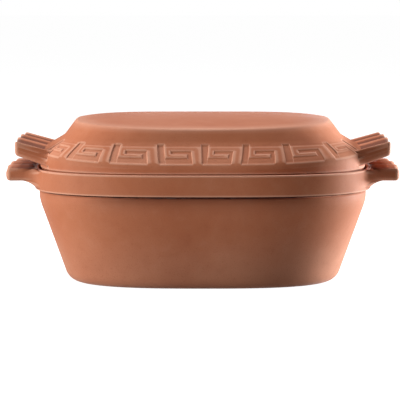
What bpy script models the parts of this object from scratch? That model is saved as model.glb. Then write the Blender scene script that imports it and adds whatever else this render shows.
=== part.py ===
"""Clay roaster: a deep oval dish and a domed lid, both moulded in unglazed terracotta.

The roaster stands on z = 0 with its length along X and its front towards -Y. Both pieces are lofts
through oval rings. The dish has a collar with a rebate inside it, where the lid's rim is seated, and
a fluted lug at each end. The lid has its own pair of fluted lugs, tilted up over those of the dish,
and a sloping band with a Greek key sunk into it. Every length is in metres.
"""

import math
from collections import namedtuple

import bmesh
import bpy
from mathutils import Vector

# Rim and collar of the dish
RIM_LENGTH = 0.3026
RIM_WIDTH = 0.2340
RIM_HEIGHT = 0.1030
RIM_POWER = 3.0
COLLAR_HEIGHT = 0.0177
COLLAR_REACH = 0.0045
COLLAR_DRAFT = 0.0006
LIP_THICKNESS = 0.0037
REBATE_DEPTH = 0.0050

# Body of the dish
FLARE_END = 0.0261
FLARE_SIDE = 0.0268
FOOT_POWER = 2.8
FOOT_ROUND = 0.0105
SHOULDER_HEIGHT = 0.0746
SHOULDER_ROUND = 0.0080
DISH_WALL = 0.0090
DISH_FLOOR = 0.0090
FLOOR_ROUND = 0.0140

# Lid, with heights measured up from the rim of the dish
SEAT_GAP = 0.0003
LID_CLEARANCE = 0.0012
LID_WALL = 0.0080
LID_RIM_INSET = 0.0006
BAND_FOOT_INSET_END = 0.0021
BAND_FOOT_INSET_SIDE = 0.0038
BAND_FOOT_RISE_END = 0.0155
BAND_FOOT_RISE_SIDE = 0.0095
BAND_FOOT_POWER = 3.2
BAND_REACH_END = 0.0188
BAND_REACH_SIDE = 0.0143
CREASE_RISE_END = 0.0266
CREASE_RISE_SIDE = 0.0259
CREASE_POWER = 3.7
FLANK_REACH_END = 0.0114
FLANK_REACH_SIDE = 0.0080
CROWN_POWER = 3.1
CROWN_EDGE_RISE_END = 0.0419
CROWN_EDGE_RISE_SIDE = 0.0383
CROWN_RISE = 0.0465
CROWN_END_FALL = 5.0
CROWN_SIDE_FALL = 2.5
CROWN_ROUND = 0.0040
CREASE_ROUND = 0.0030
BAND_ROUND = 0.0030

# Greek key sunk into the band: columns are shares of its pitch, rows shares of the band's breadth
KEY_PITCH = 0.0384
KEY_RUN_COUNT = 8
KEY_DEPTH = 0.0013
KEY_OVERCUT = 0.0030
KEY_COLUMNS = (0.0, 0.15, 0.30, 0.48, 0.66, 0.80, 1.0)
KEY_ROWS = (0.04, 0.38, 0.53, 0.71, 0.98)
KEY_PATTERN = (
    "X.....",
    "X.XXX.",
    "X...X.",
    "XXXXX.",
)

# Lugs: three flutes across the top of each
FLUTE_COUNT = 3
FLUTE_STEPS = 4
CREST_SHARE = 0.985
DISH_LUG_REACH = 0.0248
DISH_LUG_WIDTH = 0.1100
DISH_LUG_BOW = 0.0022
DISH_LUG_ARCH = 0.0006
DISH_LUG_RISE = 0.0010
DISH_LUG_THICKNESS = 0.0108
DISH_LUG_FLUTE = 0.0028
DISH_LUG_ROOT = 0.0020
DISH_LUG_SIDE_FILLET = 0.0050
DISH_LUG_UNDER_FILLET = 0.0125
DISH_LUG_TIP_ROUND = 0.0038
DISH_LUG_SINK = 0.0022
DISH_LUG_RUN = 0.0045
LID_LUG_REACH = 0.0195
LID_LUG_WIDTH = 0.1200
LID_LUG_BOW = 0.0010
LID_LUG_ARCH = 0.0010
LID_LUG_TIP_RISE = 0.0257
LID_LUG_TILT = 0.275
LID_LUG_THICKNESS = 0.0120
LID_LUG_TAPER = 0.24
LID_LUG_FLUTE = 0.0030
LID_LUG_ROOT = 0.0050
LID_LUG_LEAN = 0.0080
LID_LUG_SIDE_FILLET = 0.0070
LID_LUG_UNDER_FILLET = 0.0030
LID_LUG_TIP_ROUND = 0.0035
LID_LUG_SINK = 0.0
LID_LUG_RUN = 0.0010

# Facets
COLUMNS = 72
ROUND_STEPS = 3
SMALL_ROUND = 0.0012
SMALL_ROUND_STEPS = 1
END_RISE_POWER = 3
CROWN_SCALES = (0.3, 0.55, 0.75, 0.9)
TIP_ANGLES = (0, 28, 50, 70)
FILLET_STATIONS = (0.12, 0.3, 0.6, 1.0)
SHARP_ANGLE = 35

# A lug's rounded side, from its crest down: (share of half width, share of thickness)
LUG_SIDE = ((1.0, 0.62), (0.995, 0.25), (0.965, 0.05), (0.88, 0.0))

# Fired clay, as linear colour
TERRACOTTA = (0.485, 0.171, 0.091, 1.0)
TERRACOTTA_ROUGHNESS = 0.88

Ring = namedtuple("Ring", "half_length half_width power end_height side_height")
Lug = namedtuple(
    "Lug",
    "root reach width bow arch top tilt thickness taper flute embed lean"
    " side_fillet under_fillet tip_round sink run",
)


def signed_power(value, power):
    return math.copysign(abs(value) ** power, value)


def flat_ring(half_length, half_width, power, height):
    return Ring(half_length, half_width, power, height, height)


def grown(ring, amount):
    """The ring with its oval grown outwards, or shrunk where the amount is negative."""
    return ring._replace(
        half_length=ring.half_length + amount, half_width=ring.half_width + amount
    )


def ring_point(ring, turn):
    """A point of the ring. Its height runs from side_height at the front to end_height at the ends."""
    x = ring.half_length * signed_power(math.cos(turn), 2 / ring.power)
    y = ring.half_width * signed_power(math.sin(turn), 2 / ring.power)
    towards_end = abs(x / ring.half_length) ** END_RISE_POWER
    z = ring.side_height + (ring.end_height - ring.side_height) * towards_end
    return Vector((x, y, z))


def reach_at(ring, y):
    """How far along X the ring's oval reaches at this Y."""
    share = min(abs(y) / ring.half_width, 1.0)
    return ring.half_length * (1 - share**ring.power) ** (1 / ring.power)


def softened(corners):
    """Points of a profile whose corners are (point, setback): each is rounded over that length."""
    points = []
    for index, (point, setback) in enumerate(corners):
        if not setback:
            points.append(point)
            continue
        steps = ROUND_STEPS if setback > SMALL_ROUND else SMALL_ROUND_STEPS
        before = corners[index - 1][0] - point
        after = corners[index + 1][0] - point
        setback = min(setback, before.length / 2, after.length / 2)
        start = point + before.normalized() * setback
        end = point + after.normalized() * setback
        for step in range(steps + 1):
            share = step / steps
            points.append(start.lerp(point, share).lerp(point.lerp(end, share), share))
    return points


def shell_mesh(name, profile_at, first_pole, last_pole):
    """A closed shell from the profile at each turn, with a pole at the centre of both its ends."""
    mesh = bmesh.new()
    turns = [2 * math.pi * column / COLUMNS for column in range(COLUMNS)]
    columns = [[mesh.verts.new(point) for point in profile_at(turn)] for turn in turns]
    first = mesh.verts.new(first_pole)
    last = mesh.verts.new(last_pole)
    for column, here in enumerate(columns):
        there = columns[(column + 1) % COLUMNS]
        mesh.faces.new((first, there[0], here[0]))
        for row in range(len(here) - 1):
            mesh.faces.new((here[row], there[row], there[row + 1], here[row + 1]))
        mesh.faces.new((last, here[-1], there[-1]))
    bmesh.ops.recalc_face_normals(mesh, faces=mesh.faces)
    return finished_mesh(name, mesh)


def finished_mesh(name, mesh):
    data = bpy.data.meshes.new(name)
    mesh.to_mesh(data)
    mesh.free()
    return data


def add_object(name, data, material=None):
    piece = bpy.data.objects.new(name, data)
    bpy.context.scene.collection.objects.link(piece)
    if material:
        data.materials.append(material)
    return piece


def add_tool(name, data):
    """A body that is only joined to a piece or cut from it."""
    tool = add_object(name, data)
    tool.hide_render = True
    tool.display_type = "WIRE"
    return tool


def add_boolean(piece, tool, operation):
    modifier = piece.modifiers.new(tool.name, "BOOLEAN")
    modifier.operation = operation
    modifier.object = tool


def smooth(piece):
    piece.data.shade_smooth()
    piece.data.set_sharp_from_angle(angle=math.radians(SHARP_ANGLE))


def terracotta():
    material = bpy.data.materials.new("terracotta")
    material.use_nodes = True
    shader = material.node_tree.nodes["Principled BSDF"]
    shader.inputs["Base Color"].default_value = TERRACOTTA
    shader.inputs["Roughness"].default_value = TERRACOTTA_ROUGHNESS
    shader.inputs["Metallic"].default_value = 0.0
    return material


def rim_ring():
    return flat_ring(RIM_LENGTH / 2, RIM_WIDTH / 2, RIM_POWER, RIM_HEIGHT)


def ledge_height():
    return RIM_HEIGHT - REBATE_DEPTH


def dish_corners():
    """The dish's rings with their rounding, from the foot up the outside and down the inside."""
    rim = rim_ring()
    shoulder = grown(rim, -COLLAR_REACH)._replace(
        end_height=SHOULDER_HEIGHT, side_height=SHOULDER_HEIGHT
    )
    foot = flat_ring(
        shoulder.half_length - FLARE_END, shoulder.half_width - FLARE_SIDE, FOOT_POWER, 0.0
    )
    floor_share = DISH_FLOOR / SHOULDER_HEIGHT
    at_floor = flat_ring(
        foot.half_length + (shoulder.half_length - foot.half_length) * floor_share,
        foot.half_width + (shoulder.half_width - foot.half_width) * floor_share,
        FOOT_POWER,
        DISH_FLOOR,
    )
    collar_foot = RIM_HEIGHT - COLLAR_HEIGHT
    lip = grown(rim, -LIP_THICKNESS)
    bore = grown(shoulder, -DISH_WALL)
    return [
        (foot, FOOT_ROUND),
        (shoulder, SHOULDER_ROUND),
        (at_height(shoulder, collar_foot), SMALL_ROUND),
        (at_height(grown(rim, -COLLAR_DRAFT), collar_foot), SMALL_ROUND),
        (rim, SMALL_ROUND),
        (lip, SMALL_ROUND),
        (at_height(lip, ledge_height()), SMALL_ROUND),
        (at_height(bore, ledge_height()), SMALL_ROUND),
        (bore, SHOULDER_ROUND),
        (grown(at_floor, -DISH_WALL), FLOOR_ROUND),
    ]


def at_height(ring, height):
    return ring._replace(end_height=height, side_height=height)


def dish_profile(turn):
    corners = [(ring_point(ring, turn), setback) for ring, setback in dish_corners()]
    foot, floor = corners[0][0], corners[-1][0]
    inner_foot = (Vector((foot.x / 2, foot.y / 2, foot.z)), 0.0)
    inner_floor = (Vector((floor.x / 2, floor.y / 2, floor.z)), 0.0)
    return softened([inner_foot] + corners + [inner_floor])


def lid_rings():
    """The lid's outer rings: crown edge, crease, foot of the band, top and bottom of its rim."""
    rim = grown(rim_ring(), -LIP_THICKNESS - LID_CLEARANCE)
    seat = ledge_height() + SEAT_GAP
    band_foot = Ring(
        rim.half_length - BAND_FOOT_INSET_END,
        rim.half_width - BAND_FOOT_INSET_SIDE,
        BAND_FOOT_POWER,
        RIM_HEIGHT + BAND_FOOT_RISE_END,
        RIM_HEIGHT + BAND_FOOT_RISE_SIDE,
    )
    crease = Ring(
        band_foot.half_length - BAND_REACH_END,
        band_foot.half_width - BAND_REACH_SIDE,
        CREASE_POWER,
        RIM_HEIGHT + CREASE_RISE_END,
        RIM_HEIGHT + CREASE_RISE_SIDE,
    )
    crown = Ring(
        crease.half_length - FLANK_REACH_END,
        crease.half_width - FLANK_REACH_SIDE,
        CROWN_POWER,
        RIM_HEIGHT + CROWN_EDGE_RISE_END,
        RIM_HEIGHT + CROWN_EDGE_RISE_SIDE,
    )
    rim_top = at_height(grown(rim, -LID_RIM_INSET), RIM_HEIGHT)
    return crown, crease, band_foot, rim_top, at_height(rim, seat)


def inset_line(points, wall):
    """A profile of (reach, height) points moved towards the inside of the lid by the wall."""
    moved = []
    for before, point, after in zip(points, points[1:], points[2:]):
        first = inward_normal(before, point)
        second = inward_normal(point, after)
        moved.append(point + (first + second) * wall / (1 + first.dot(second)))
    return moved


def inward_normal(start, end):
    along = (end - start).normalized()
    return Vector((along.y, -along.x))


def lid_inner_rings():
    """The rings inside the lid, a wall's thickness in from the outer ones."""
    rings = lid_rings()
    top = RIM_HEIGHT + CROWN_RISE
    ends = [Vector((0.0, top))] + [Vector((r.half_length, r.end_height)) for r in rings]
    sides = [Vector((0.0, top))] + [Vector((r.half_width, r.side_height)) for r in rings]
    moved = zip(inset_line(ends, LID_WALL), inset_line(sides, LID_WALL), rings)
    inner = [Ring(e.x, s.x, ring.power, e.y, s.y) for e, s, ring in moved]
    return inner + [grown(rings[-1], -LID_WALL)]


def crown_point(ring, top, turn, scale):
    """A point of the crown, which falls off from its top towards the ring at its edge."""
    rim = ring_point(ring, turn)
    along = abs(rim.x / ring.half_length) * scale
    across = abs(rim.y / ring.half_width) * scale
    drop = (top - ring.end_height) * along**CROWN_END_FALL
    drop += (top - ring.side_height) * across**CROWN_SIDE_FALL
    return Vector((rim.x * scale, rim.y * scale, top - drop))


def lid_profile(turn):
    outer = lid_rings()
    inner = lid_inner_rings()
    top = RIM_HEIGHT + CROWN_RISE
    rounds = (CREASE_ROUND, BAND_ROUND, SMALL_ROUND, SMALL_ROUND)
    corners = [(crown_point(outer[0], top, turn, scale), 0.0) for scale in CROWN_SCALES]
    corners.append((crown_point(outer[0], top, turn, 1.0), CROWN_ROUND))
    corners += [(ring_point(ring, turn), size) for ring, size in zip(outer[1:], rounds)]
    inward = zip(reversed(inner[1:]), reversed(rounds))
    corners += [(ring_point(ring, turn), size) for ring, size in inward]
    under = top - LID_WALL
    corners.append((crown_point(inner[0], under, turn, 1.0), CROWN_ROUND))
    back = reversed(CROWN_SCALES[1::2])
    corners += [(crown_point(inner[0], under, turn, scale), 0.0) for scale in back]
    lowered = Vector((0.0, 0.0, ledge_height() + SEAT_GAP))
    return [point - lowered for point in softened(corners)]


def band_point(turn, share):
    """A point of the band, from the crease at share 0 to the foot of the band at share 1."""
    crease, foot = lid_rings()[1:3]
    return ring_point(crease, turn).lerp(ring_point(foot, turn), share)


def band_turns():
    """Turns that split the band into equal lengths, counted from the middle of the front."""
    steps = 1440
    turns = [2 * math.pi * step / steps - math.pi / 2 for step in range(steps + 1)]
    points = [band_point(turn, 0.5) for turn in turns]
    lengths = [0.0]
    for here, there in zip(points, points[1:]):
        lengths.append(lengths[-1] + (there - here).length)
    return turns, lengths


def turn_at(distance, turns, lengths):
    distance %= lengths[-1]
    index = next(i for i, length in enumerate(lengths) if length >= distance and i)
    share = (distance - lengths[index - 1]) / (lengths[index] - lengths[index - 1])
    return turns[index - 1] + (turns[index] - turns[index - 1]) * share


def above_band(turn, share, height):
    """A point at this height over the band, measured square to it."""
    step = 0.01
    along = band_point(turn + step, share) - band_point(turn - step, share)
    down = band_point(turn, share + step) - band_point(turn, share - step)
    out = down.cross(along).normalized()
    return band_point(turn, share) + out * height


def add_key_channel(mesh, start, pattern, curve):
    """One sunk figure of the key: the marked cells of its grid, from under the band to above it."""
    corners = {}

    def corner(column, row, height):
        if (column, row, height) not in corners:
            turn = turn_at(start + KEY_PITCH * KEY_COLUMNS[column], *curve)
            point = above_band(turn, KEY_ROWS[row], height)
            corners[column, row, height] = mesh.verts.new(point)
        return corners[column, row, height]

    def marked(column, row):
        return (
            0 <= row < len(pattern)
            and 0 <= column < len(pattern[row])
            and pattern[row][column] == "X"
        )

    for row, line in enumerate(pattern):
        for column in range(len(line)):
            if not marked(column, row):
                continue
            around = ((column, row), (column + 1, row), (column + 1, row + 1), (column, row + 1))
            mesh.faces.new([corner(c, r, KEY_OVERCUT) for c, r in around])
            mesh.faces.new([corner(c, r, -KEY_DEPTH) for c, r in reversed(around)])
            beside = ((column, row - 1), (column + 1, row), (column, row + 1), (column - 1, row))
            for index, neighbour in enumerate(beside):
                if marked(*neighbour):
                    continue
                first, second = around[index], around[(index + 1) % 4]
                wall = [
                    corner(*first, -KEY_DEPTH),
                    corner(*second, -KEY_DEPTH),
                    corner(*second, KEY_OVERCUT),
                    corner(*first, KEY_OVERCUT),
                ]
                mesh.faces.new(wall)


def key_mesh():
    """The key's channels: a run of equal figures on each long side, closed by one more upright."""
    mesh = bmesh.new()
    curve = band_turns()
    upright = tuple(line[:1] for line in KEY_PATTERN)
    for middle in (0.0, curve[1][-1] / 2):
        first = middle - KEY_PITCH * KEY_RUN_COUNT / 2
        for index in range(KEY_RUN_COUNT):
            add_key_channel(mesh, first + KEY_PITCH * index, KEY_PATTERN, curve)
        add_key_channel(mesh, first + KEY_PITCH * KEY_RUN_COUNT, upright, curve)
    bmesh.ops.translate(
        mesh, verts=mesh.verts, vec=(0.0, 0.0, -ledge_height() - SEAT_GAP)
    )
    bmesh.ops.recalc_face_normals(mesh, faces=mesh.faces)
    return finished_mesh("key_channels", mesh)


def fillet(distance, radius):
    """How far a concave fillet stands off at this distance from the wall that it runs into."""
    gap = radius - max(distance, FILLET_STATIONS[0] * radius)
    if gap <= 0:
        return 0.0
    return radius - math.sqrt(radius * radius - gap * gap)


def lug_section():
    """Points across a lug as (share of its half width, share of its thickness, flute share)."""
    steps = FLUTE_COUNT * FLUTE_STEPS
    section = []
    for step in range(steps + 1):
        within = (step % FLUTE_STEPS) / FLUTE_STEPS
        across = CREST_SHARE * (2 * step / steps - 1)
        section.append((across, 1.0, 4 * within * (1 - within)))
    section += [(across, up, 0.0) for across, up in LUG_SIDE]
    section += [(1 - 2 * crest / FLUTE_COUNT, 0.0, 0.0) for crest in range(1, FLUTE_COUNT)]
    section += [(-across, up, 0.0) for across, up in reversed(LUG_SIDE)]
    return section


def add_lug_cap(mesh, section):
    """Closes a lug's end with one face below each flute, so that each follows the bowed end."""
    top = FLUTE_COUNT * FLUTE_STEPS + 1
    low = section[top:]
    side = (len(low) - FLUTE_COUNT + 1) // 2
    starts = [0] + [side + crest for crest in range(FLUTE_COUNT - 1)]
    ends = [side + crest for crest in range(FLUTE_COUNT - 1)] + [len(low) - 1]
    for flute, (start, end) in enumerate(zip(starts, ends)):
        first = (FLUTE_COUNT - 1 - flute) * FLUTE_STEPS
        above = section[first : first + FLUTE_STEPS + 1]
        face = mesh.faces.new(above + low[start : end + 1])
        face.normal_update()
        bmesh.ops.triangulate(mesh, faces=[face], ngon_method="EAR_CLIP")


def lug_stations(lug):
    """(distance out from the root, narrowing) along a lug, closer at its fillets and its tip."""
    length = lug.embed + lug.reach
    reach = max(lug.side_fillet, lug.under_fillet)
    stations = [(0.0, 0.0)] + [(lug.embed + reach * share, 0.0) for share in FILLET_STATIONS]
    for angle in TIP_ANGLES:
        back = lug.tip_round * (1 - math.sin(math.radians(angle)))
        narrowing = lug.tip_round * (1 - math.cos(math.radians(angle)))
        stations.append((length - back, narrowing))
    return stations


def lug_mesh(name, lug, side, lowered):
    """A fluted lug lofted from inside the wall of its piece out to its tip."""
    mesh = bmesh.new()
    length = lug.embed + lug.reach
    tip = lug.root.half_length + lug.reach
    sections = []
    for distance, narrowing in lug_stations(lug):
        out = distance - lug.embed
        risen = min(max(out / lug.run, 0.0), 1.0)
        half_width = lug.width / 2 + fillet(out, lug.side_fillet) - narrowing
        ring = []
        for across, up, flute in lug_section():
            y = across * half_width
            inner = reach_at(lug.root, y) - lug.embed - lug.lean * up
            aside = (y / (lug.width / 2)) ** 2
            outer = tip - lug.bow * aside
            x = inner + (outer - inner) * distance / length
            crest = lug.top + lug.tilt * (x - tip)
            top = crest + lug.arch * (1 - aside) - lug.flute * risen * flute
            top -= lug.sink * (1 - risen) + narrowing
            under = crest - lug.thickness + lug.taper * (x - tip)
            under += narrowing - fillet(out, lug.under_fillet)
            ring.append(mesh.verts.new((side * x, y, under + (top - under) * up - lowered)))
        sections.append(ring)
    for here, there in zip(sections, sections[1:]):
        for index in range(len(here)):
            after = (index + 1) % len(here)
            mesh.faces.new((here[index], here[after], there[after], there[index]))
    add_lug_cap(mesh, sections[0])
    add_lug_cap(mesh, sections[-1])
    bmesh.ops.recalc_face_normals(mesh, faces=mesh.faces)
    return finished_mesh(name, mesh)


def dish_lug():
    return Lug(
        root=rim_ring(),
        reach=DISH_LUG_REACH,
        width=DISH_LUG_WIDTH,
        bow=DISH_LUG_BOW,
        arch=DISH_LUG_ARCH,
        top=RIM_HEIGHT + DISH_LUG_RISE,
        tilt=0.0,
        thickness=DISH_LUG_THICKNESS,
        taper=0.0,
        flute=DISH_LUG_FLUTE,
        embed=DISH_LUG_ROOT,
        lean=0.0,
        side_fillet=DISH_LUG_SIDE_FILLET,
        under_fillet=DISH_LUG_UNDER_FILLET,
        tip_round=DISH_LUG_TIP_ROUND,
        sink=DISH_LUG_SINK,
        run=DISH_LUG_RUN,
    )


def lid_lug():
    return Lug(
        root=lid_rings()[3],
        reach=LID_LUG_REACH + LID_RIM_INSET,
        width=LID_LUG_WIDTH,
        bow=LID_LUG_BOW,
        arch=LID_LUG_ARCH,
        top=RIM_HEIGHT + LID_LUG_TIP_RISE,
        tilt=LID_LUG_TILT,
        thickness=LID_LUG_THICKNESS,
        taper=LID_LUG_TAPER,
        flute=LID_LUG_FLUTE,
        embed=LID_LUG_ROOT,
        lean=LID_LUG_LEAN,
        side_fillet=LID_LUG_SIDE_FILLET,
        under_fillet=LID_LUG_UNDER_FILLET,
        tip_round=LID_LUG_TIP_ROUND,
        sink=LID_LUG_SINK,
        run=LID_LUG_RUN,
    )


def build_dish(material):
    floor = Vector((0.0, 0.0, DISH_FLOOR))
    dish = add_object("dish", shell_mesh("dish", dish_profile, Vector(), floor), material)
    for name, side in (("dish_lug_left", -1), ("dish_lug_right", 1)):
        add_boolean(dish, add_tool(name, lug_mesh(name, dish_lug(), side, 0.0)), "UNION")
    smooth(dish)
    return dish


def build_lid(material):
    """The lid, whose origin is on the line that it is lifted along, level with its seat."""
    seat = ledge_height() + SEAT_GAP
    top = Vector((0.0, 0.0, RIM_HEIGHT + CROWN_RISE - seat))
    under = top - Vector((0.0, 0.0, LID_WALL))
    lid = add_object("lid", shell_mesh("lid", lid_profile, top, under), material)
    lid.location.z = seat
    tools = [(add_tool("key_channels", key_mesh()), "DIFFERENCE")]
    for name, side in (("lid_lug_left", -1), ("lid_lug_right", 1)):
        tools.append((add_tool(name, lug_mesh(name, lid_lug(), side, seat)), "UNION"))
    for tool, operation in tools:
        tool.parent = lid
        add_boolean(lid, tool, operation)
    smooth(lid)
    return lid


def main():
    for piece in list(bpy.data.objects):
        bpy.data.objects.remove(piece)
    clay = terracotta()
    build_dish(clay)
    build_lid(clay)


main()
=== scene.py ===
"""Looks of a clay roaster: a deep oval dish and its domed lid, both of unglazed terracotta.

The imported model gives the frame. Each piece is a shell of oval rings, lofted by Geometry Nodes,
with a fluted lug grown out of the shell at each end. The Greek key is sunk into the lid's sloping
band by Geometry Nodes too. Every length is in metres, +X is the length and -Y the front.
"""

import math
from collections import namedtuple
from functools import partialmethod

import bmesh
import bpy
import numpy as np
from bpy.props import FloatProperty, FloatVectorProperty, IntProperty, PointerProperty
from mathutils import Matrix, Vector


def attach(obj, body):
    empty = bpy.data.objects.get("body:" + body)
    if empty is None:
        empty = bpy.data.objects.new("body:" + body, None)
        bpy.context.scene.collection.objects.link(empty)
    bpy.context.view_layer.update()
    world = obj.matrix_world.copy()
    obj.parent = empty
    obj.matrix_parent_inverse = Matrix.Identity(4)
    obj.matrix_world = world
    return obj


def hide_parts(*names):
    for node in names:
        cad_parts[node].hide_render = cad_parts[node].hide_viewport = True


bl_info = {
    "name": "Clay Roaster",
    "version": (1, 0, 0),
    "blender": (4, 5, 0),
    "location": "View3D > Sidebar > Clay Roaster",
    "description": "Builds an oval clay roasting dish with a lid, a studio floor and soft lamps",
    "category": "Add Mesh",
}

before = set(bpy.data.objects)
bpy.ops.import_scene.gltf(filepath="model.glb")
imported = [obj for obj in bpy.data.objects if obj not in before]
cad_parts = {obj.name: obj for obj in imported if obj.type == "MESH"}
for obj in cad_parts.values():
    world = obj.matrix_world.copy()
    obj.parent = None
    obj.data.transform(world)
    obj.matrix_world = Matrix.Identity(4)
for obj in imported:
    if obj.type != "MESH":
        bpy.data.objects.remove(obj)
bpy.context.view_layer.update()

# Body of the dish
FLARE_END = 0.0261
FLARE_SIDE = 0.0268
FOOT_POWER = 2.8
FOOT_ROUND = 0.0105
SHOULDER_HEIGHT = 0.0746
SHOULDER_ROUND = 0.0080
FLOOR_ROUND = 0.0140
RIM_POWER = 3.0
COLLAR_REACH = 0.0045
COLLAR_DRAFT = 0.0006
COLLAR_ROWS = 9
GROOVE_HEIGHT = 0.0024
GROOVE_DEPTH = 0.0022
LIP_THICKNESS = 0.0037
REBATE_DEPTH = 0.0050
POLE_SCALE = 0.1
SIDE_SPACING = 0.0034

# Marks of sharp edges, for wear and a painted highlight, and of hollows, for painted shade,
# as turns in radians per metre, and painted shade under the collar and under the lid's lugs
SHARP = 450.0
SOFT_HOLLOW = 180.0
LID_HOLLOW_SHARE = 0.08
LEAST_SQUARE = 1e-10
COVERED = (0.0010, 0.0070)
COVERED_EDGE_SHARE = 0.2
SHADE_FALL = 0.0068
SHADE_SIDE = (0.86, 0.985)
LINE_FALL = 0.0016
LINE_SHARE = 0.6
OUTER_SHARE = 0.89
UNDER_LID = (0.1515, 0.0045, 0.098)

# Lid, with heights measured up from the rim of the dish
SEAT_GAP = 0.0003
LID_CLEARANCE = 0.0012
LID_RIM_INSET = 0.0006
NOTCH_RISE = 0.0007
NOTCH_DEPTH = 0.0010
CROWN_END_FALL = 5.0
CROWN_SIDE_FALL = 2.5
RISE_POWER = 3.0
CROWN_ROUND = 0.0019
CREASE_ROUND = 0.0030
BAND_ROUND = 0.0040
CROWN_SCALES = (0.05, 0.13, 0.22, 0.32, 0.43, 0.54, 0.64, 0.73, 0.81, 0.88, 0.93)
CROWN_MARGIN = 0.84

# Rounding of a profile's corners
ROUND_STEPS = 8
SMALL_ROUND = 0.0009
SMALL_ROUND_STEPS = 4
SUPPORT = 0.0008
CORNER_LIMIT = 0.6

# Value of "band": from 0 at the crease to 1 at the band's foot, and these values elsewhere
OFF_BAND = -1.0
# The crown's edge, which gets a painted highlight
CROWN_EDGE_BAND = -2.0
BELOW_BAND = 1.6
NO_KEY = -9.0

# Foot of the lid's band, crease and crown edge: how far each lies inside the one before and how
# high it is, both at the end and at the side, and then its power, dome and band
LID_CORNERS = (
    (0.0021, 0.0038, 0.0155, 0.0095, 3.2, 0.0, 1.0),
    (0.0188, 0.0143, 0.0266, 0.0259, 3.7, 0.0, 0.0),
    (0.0114, 0.0052, 0.0419, 0.0383, 3.1, 1.0, CROWN_EDGE_BAND),
)

# Greek key. Starts of its figures, in metres along the band from the middle of a long side
KEY_STARTS = (-0.1535, -0.1171, -0.0791, -0.0388, -0.0009, 0.0342, 0.0706, 0.1132, 0.1497)
KEY_PITCH = 0.0380
KEY_EDGES = (0.0, 0.15, 0.30, 0.66, 0.76)
KEY_BETWEEN = (0.075, 0.225, 0.42, 0.54, 0.71, 0.88)
KEY_WALL_PARTS = (-1.8, -1.0, -0.4, 0.0, 0.4, 1.0, 1.8)
KEY_TOP = 0.06
KEY_LINES = (0.165, 0.38, 0.53, 0.71)
KEY_LOWEST = 0.98
KEY_FILL = (0.25, 0.47, 0.61, 0.81, 0.86, 0.91)
KEY_CLOSING = 0.115
KEY_BEYOND = (-0.5, -0.3)
SOFT_WALL = 0.45
LINE_MARGIN = 0.25
UPRIGHT_SHARE = 0.92
CLOSING_SHARE = 1.25
FIGURE_SHARE = 0.78
STRIP_SHARE = 0.14
STRIP_START = 0.01
STRIP_END = 0.12
KEY_WORN_FROM = (2.6, 4.4)
KEY_WORN_SHARE = 0.62
BAND_BREADTH = 0.0218
END_SPACING = 0.0024
TURN_SAMPLES = 20001

# Lugs
FLUTE_COUNT = 3
FLUTE_STEPS = 10
CREST_SHARE = 0.985
LEAST_FLUTE = 0.01
CORNER_SECTION = ((1.0, 0.66), (0.998, 0.86), (0.993, 0.96))
SIDE_SECTION = ((1.0, 0.66), (1.0, 0.45), (0.996, 0.25), (0.985, 0.12), (0.965, 0.04), (0.93, 0.0))
SIDE_AT_STEP = (0.45, 1.1)
MARK_GAP = 0.012
CORNER_COLUMNS = (1.0, 0.62, 0.3)
COLUMN_SWELL = 0.08
COLUMN_SWELL_POWER = 12
SHELL_STATIONS = (0.3, 0.6, 0.9)
FILLET_STATIONS = (0.0, 0.16, 0.33, 0.5, 0.67, 0.84, 1.0)
STRAIGHT_STATIONS = (0.06, 0.3, 0.6, 0.9)
TIP_ANGLES = (0, 15, 30, 45, 60, 75, 90)
FLUTES_BEGIN = 5
WALL_MARGIN = 3
FILLET_BACK = 0.9
PASSING_SHARE = 1 / 3
UNDER_RUN_POWER = 4
WEB_POWER = 8
DISH_LUG_SPREAD = 0.0125
DISH_LUG_RISE = 0.0010
LID_LUG_SPREAD = 0.0013
LID_LUG_RISE = 0.0257
LID_WALL_ROWS = 7
LID_LUG_STEP = 7
LID_PATCH_SHARE = 0.56
LID_PATCH_LOW = 0.1068
LID_PATCH_SIDE = 0.70

# Clay's noises, as (scale, detail, roughness)
CLOUDS = (14.0, 3.0, 0.55)
PATCHES = (75.0, 3.0, 0.55)
GRAIN = (900.0, 2.0, 0.7)
SPECKS = (2600.0, 1.0, 0.5)

# How much of each colour lies over the clay, as (low, high, share at low, share at high) or as the
# most that a mark adds
PALE_CLOUDS = (0.42, 0.78, 0.0, 0.30)
PALE_PATCHES = (0.5, 0.8, 0.0, 0.22)
# Edges are paler from wear and from a painted highlight
PALE_EDGES = (0.2, 0.7, 0.45, 0.95)
PALE_SPECKS = (0.62, 0.75, 0.0, 0.25)
# Painted light in the key's channels
PAINTED_CHANNEL_LIGHT = 0.4
# Painted light on the lid's sloping band
PAINTED_BAND_LIGHT = 0.08
# Painted bounce light from the floor, paler towards the foot
PAINTED_FOOT_LIGHT = (0.062, 0.004, 0.0, 0.9)
DEEP_CLOUDS = (0.55, 0.25, 0.0, 0.30)
DEEP_PATCHES = (0.5, 0.2, 0.0, 0.20)
DEEP_GRAIN = (0.46, 0.3, 0.0, 0.35)
# Painted shade in hollows
PAINTED_HOLLOW_SHADE_DEEP = 0.3
# Wear on edges, with a painted highlight
EDGE_WEAR_AND_HIGHLIGHT = (0.25, 0.8, 0.0, 0.4)
# Painted highlight in the key's channels
PAINTED_CHANNEL_HIGHLIGHT = (0.5, 1.0, 0.0, 0.15)
# Painted highlight along the crown's edge
PAINTED_CROWN_HIGHLIGHT = 0.28
# The most of the edge wear and painted highlights together
MOST_WEAR_AND_HIGHLIGHT = 0.55
# Painted shade in the flutes' valleys
PAINTED_FLUTE_SHADE = (0.1, 0.55, 0.0, 0.68)
# Painted shade in hollows, darker still
PAINTED_HOLLOW_SHADE_DARK = 0.9
# Painted shade under the collar and the lid's lugs, and the most painted shade of all
PAINTED_SHADE_UNDER = 0.92
MOST_PAINTED_SHADE = 0.95

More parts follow.
